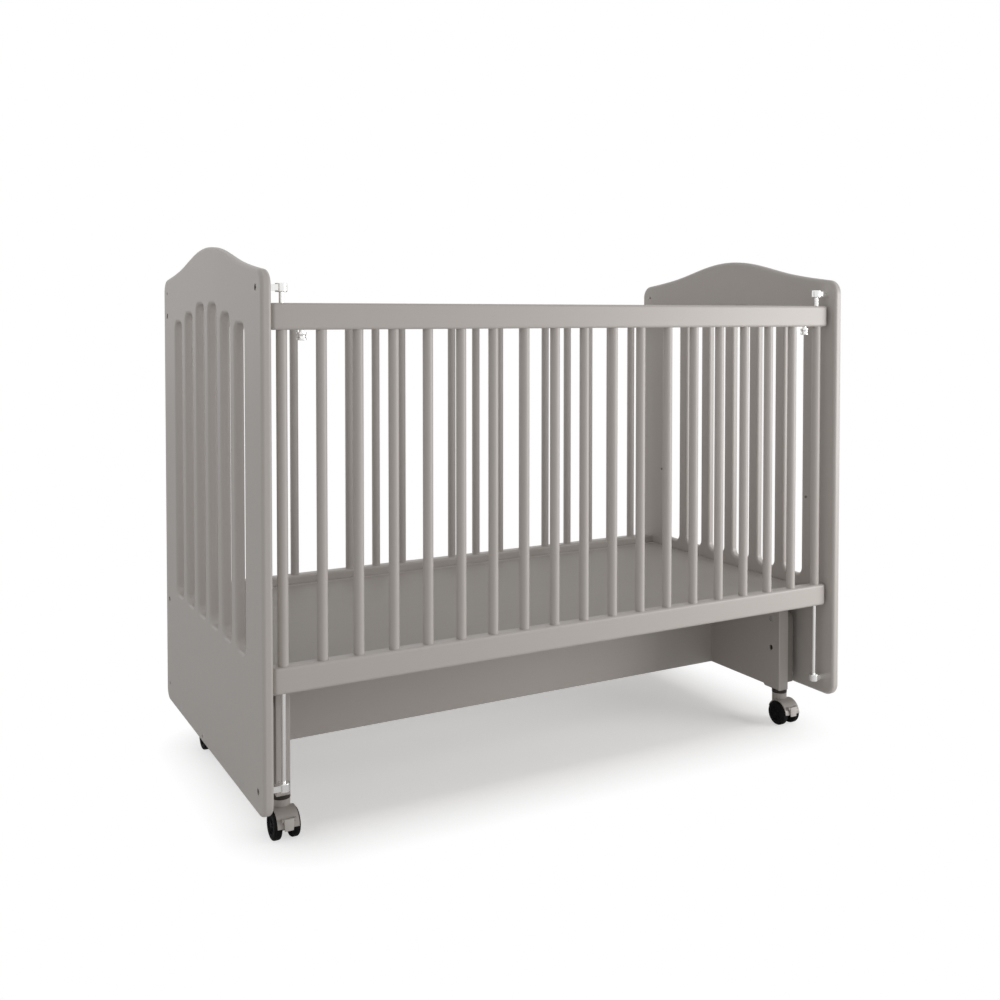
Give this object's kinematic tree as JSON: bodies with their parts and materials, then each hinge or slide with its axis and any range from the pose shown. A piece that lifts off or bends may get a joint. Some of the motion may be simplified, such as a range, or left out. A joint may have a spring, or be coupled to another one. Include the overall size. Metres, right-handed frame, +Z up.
{
  "type": "drop-side crib",
  "caption": "Drop-side baby crib with arched, slotted end panels, hung on a sideways-swinging base with twin-wheel casters.",
  "frame": {"origin": "on the floor, under the middle of the crib", "axes": "+X along the crib's length to the right end, +Y from the drop side to the fixed side, +Z up"},
  "size_m": [1.25, 0.68, 1.009],
  "materials": {
    "grey_paint": "satin grey paint",
    "grey_board": "satin grey paint",
    "bright_steel": "bright plated",
    "zinc_steel": "zinc plated",
    "bush_plastic": "natural nylon",
    "hood_plastic": "satin moulded",
    "pedal_plastic": "satin moulded",
    "wheel_plastic": "satin black"
  },
  "bodies": {
    "base": {"base_end_left": "grey_paint", "base_end_right": "grey_paint", "base_stretcher": "grey_paint", "stretcher_bolts": "zinc_steel", "swing_blocks": "grey_paint", "block_bolts": "zinc_steel", "upper_pivots": "zinc_steel", "caster_sockets": "hood_plastic"},
    "crib": {"end_panel_left": "grey_paint", "end_panel_right": "grey_paint", "back_top_rail": "grey_paint", "back_bottom_rail": "grey_paint", "back_dowels": "grey_paint", "back_rail_bolts": "zinc_steel", "barrel_nuts": "zinc_steel", "mattress_board": "grey_board", "mattress_batten_front": "grey_paint", "mattress_batten_back": "grey_paint", "mattress_cleat_left": "grey_paint", "mattress_cleat_right": "grey_paint", "cleat_bolts": "zinc_steel", "guide_rod_left": "bright_steel", "guide_rod_right": "bright_steel", "rod_brackets_upper": "bright_steel", "rod_brackets_lower": "bright_steel", "rod_bracket_bolts": "zinc_steel", "lower_pivots": "zinc_steel"},
    "drop_side": {"drop_top_rail": "grey_paint", "drop_bottom_rail": "grey_paint", "drop_dowels": "grey_paint", "drop_end_tubes": "grey_paint", "rod_bushes": "bush_plastic", "catch_sleeves": "bright_steel"},
    "catch_left": {"catch_button_left": "bright_steel"},
    "catch_right": {"catch_button_right": "bright_steel"},
    "link_front_left": {"swing_link_front_left": "zinc_steel"},
    "link_front_right": {"swing_link_front_right": "zinc_steel"},
    "link_back_left": {"swing_link_back_left": "zinc_steel"},
    "link_back_right": {"swing_link_back_right": "zinc_steel"},
    "caster_front_left": {"caster_hood_front_left": "hood_plastic", "caster_pins_front_left": "zinc_steel"},
    "wheel_outer_front_left": {"wheel_outer_front_left": "wheel_plastic"},
    "wheel_inner_front_left": {"wheel_inner_front_left": "wheel_plastic"},
    "brake_front_left": {"brake_pedal_front_left": "pedal_plastic"},
    "caster_front_right": {"caster_hood_front_right": "hood_plastic", "caster_pins_front_right": "zinc_steel"},
    "wheel_outer_front_right": {"wheel_outer_front_right": "wheel_plastic"},
    "wheel_inner_front_right": {"wheel_inner_front_right": "wheel_plastic"},
    "brake_front_right": {"brake_pedal_front_right": "pedal_plastic"},
    "caster_back_left": {"caster_hood_back_left": "hood_plastic", "caster_pins_back_left": "zinc_steel"},
    "wheel_outer_back_left": {"wheel_outer_back_left": "wheel_plastic"},
    "wheel_inner_back_left": {"wheel_inner_back_left": "wheel_plastic"},
    "brake_back_left": {"brake_pedal_back_left": "pedal_plastic"},
    "caster_back_right": {"caster_hood_back_right": "hood_plastic", "caster_pins_back_right": "zinc_steel"},
    "wheel_outer_back_right": {"wheel_outer_back_right": "wheel_plastic"},
    "wheel_inner_back_right": {"wheel_inner_back_right": "wheel_plastic"},
    "brake_back_right": {"brake_pedal_back_right": "pedal_plastic"}
  },
  "joints": [
    {"name": "swing_front_left", "type": "hinge", "parent": "base", "child": "link_front_left", "pos_m": [-0.597, -0.216, 0.223], "axis": [1, 0, 0], "range_deg": [-18, 18]},
    {"name": "swing_front_right", "type": "hinge", "parent": "base", "child": "link_front_right", "pos_m": [0.597, -0.216, 0.223], "axis": [1, 0, 0], "range_deg": [-18, 18]},
    {"name": "swing_back_left", "type": "hinge", "parent": "base", "child": "link_back_left", "pos_m": [-0.597, 0.216, 0.223], "axis": [1, 0, 0], "range_deg": [-18, 18]},
    {"name": "swing_back_right", "type": "hinge", "parent": "base", "child": "link_back_right", "pos_m": [0.597, 0.216, 0.223], "axis": [1, 0, 0], "range_deg": [-18, 18]},
    {"name": "crib_on_link", "type": "hinge", "parent": "link_front_left", "child": "crib", "pos_m": [-0.597, -0.216, 0.094], "axis": [1, 0, 0], "range_deg": [-18, 18]},
    {"name": "drop_side_slide", "type": "slide", "parent": "crib", "child": "drop_side", "axis": [0, 0, 1], "range_m": [-0.145, 0.015]},
    {"name": "catch_left_press", "type": "slide", "parent": "drop_side", "child": "catch_left", "axis": [0, 0, 1], "range_m": [0, 0.004], "stiffness_N_per_m": 300},
    {"name": "catch_right_press", "type": "slide", "parent": "drop_side", "child": "catch_right", "axis": [0, 0, 1], "range_m": [0, 0.004], "stiffness_N_per_m": 300},
    {"name": "swivel_front_left", "type": "hinge", "parent": "base", "child": "caster_front_left", "pos_m": [-0.561, -0.229, 0.065], "axis": [0, 0, 1], "continuous": true},
    {"name": "wheel_outer_front_left_roll", "type": "hinge", "parent": "caster_front_left", "child": "wheel_outer_front_left", "pos_m": [-0.577, -0.243, 0.025], "axis": [1, 0, 0], "continuous": true},
    {"name": "wheel_inner_front_left_roll", "type": "hinge", "parent": "caster_front_left", "child": "wheel_inner_front_left", "pos_m": [-0.545, -0.243, 0.025], "axis": [1, 0, 0], "continuous": true},
    {"name": "brake_front_left_press", "type": "hinge", "parent": "caster_front_left", "child": "brake_front_left", "pos_m": [-0.561, -0.26985, 0.0405], "axis": [-1, 0, 0], "range_deg": [0, 25]},
    {"name": "swivel_front_right", "type": "hinge", "parent": "base", "child": "caster_front_right", "pos_m": [0.561, -0.229, 0.065], "axis": [0, 0, 1], "continuous": true},
    {"name": "wheel_outer_front_right_roll", "type": "hinge", "parent": "caster_front_right", "child": "wheel_outer_front_right", "pos_m": [0.577, -0.243, 0.025], "axis": [1, 0, 0], "continuous": true},
    {"name": "wheel_inner_front_right_roll", "type": "hinge", "parent": "caster_front_right", "child": "wheel_inner_front_right", "pos_m": [0.545, -0.243, 0.025], "axis": [1, 0, 0], "continuous": true},
    {"name": "brake_front_right_press", "type": "hinge", "parent": "caster_front_right", "child": "brake_front_right", "pos_m": [0.561, -0.26985, 0.0405], "axis": [-1, 0, 0], "range_deg": [0, 25]},
    {"name": "swivel_back_left", "type": "hinge", "parent": "base", "child": "caster_back_left", "pos_m": [-0.561, 0.229, 0.065], "axis": [0, 0, 1], "continuous": true},
    {"name": "wheel_outer_back_left_roll", "type": "hinge", "parent": "caster_back_left", "child": "wheel_outer_back_left", "pos_m": [-0.577, 0.215, 0.025], "axis": [1, 0, 0], "continuous": true},
    {"name": "wheel_inner_back_left_roll", "type": "hinge", "parent": "caster_back_left", "child": "wheel_inner_back_left", "pos_m": [-0.545, 0.215, 0.025], "axis": [1, 0, 0], "continuous": true},
    {"name": "brake_back_left_press", "type": "hinge", "parent": "caster_back_left", "child": "brake_back_left", "pos_m": [-0.561, 0.18815, 0.0405], "axis": [-1, 0, 0], "range_deg": [0, 25]},
    {"name": "swivel_back_right", "type": "hinge", "parent": "base", "child": "caster_back_right", "pos_m": [0.561, 0.229, 0.065], "axis": [0, 0, 1], "continuous": true},
    {"name": "wheel_outer_back_right_roll", "type": "hinge", "parent": "caster_back_right", "child": "wheel_outer_back_right", "pos_m": [0.577, 0.215, 0.025], "axis": [1, 0, 0], "continuous": true},
    {"name": "wheel_inner_back_right_roll", "type": "hinge", "parent": "caster_back_right", "child": "wheel_inner_back_right", "pos_m": [0.545, 0.215, 0.025], "axis": [1, 0, 0], "continuous": true},
    {"name": "brake_back_right_press", "type": "hinge", "parent": "caster_back_right", "child": "brake_back_right", "pos_m": [0.561, 0.18815, 0.0405], "axis": [-1, 0, 0], "range_deg": [0, 25]}
  ],
  "couplings": [
    {"joint": "swing_front_right", "follows": "swing_front_left", "ratio": 1},
    {"joint": "swing_back_left", "follows": "swing_front_left", "ratio": 1},
    {"joint": "swing_back_right", "follows": "swing_front_left", "ratio": 1},
    {"joint": "crib_on_link", "follows": "swing_front_left", "ratio": -1}
  ]
}
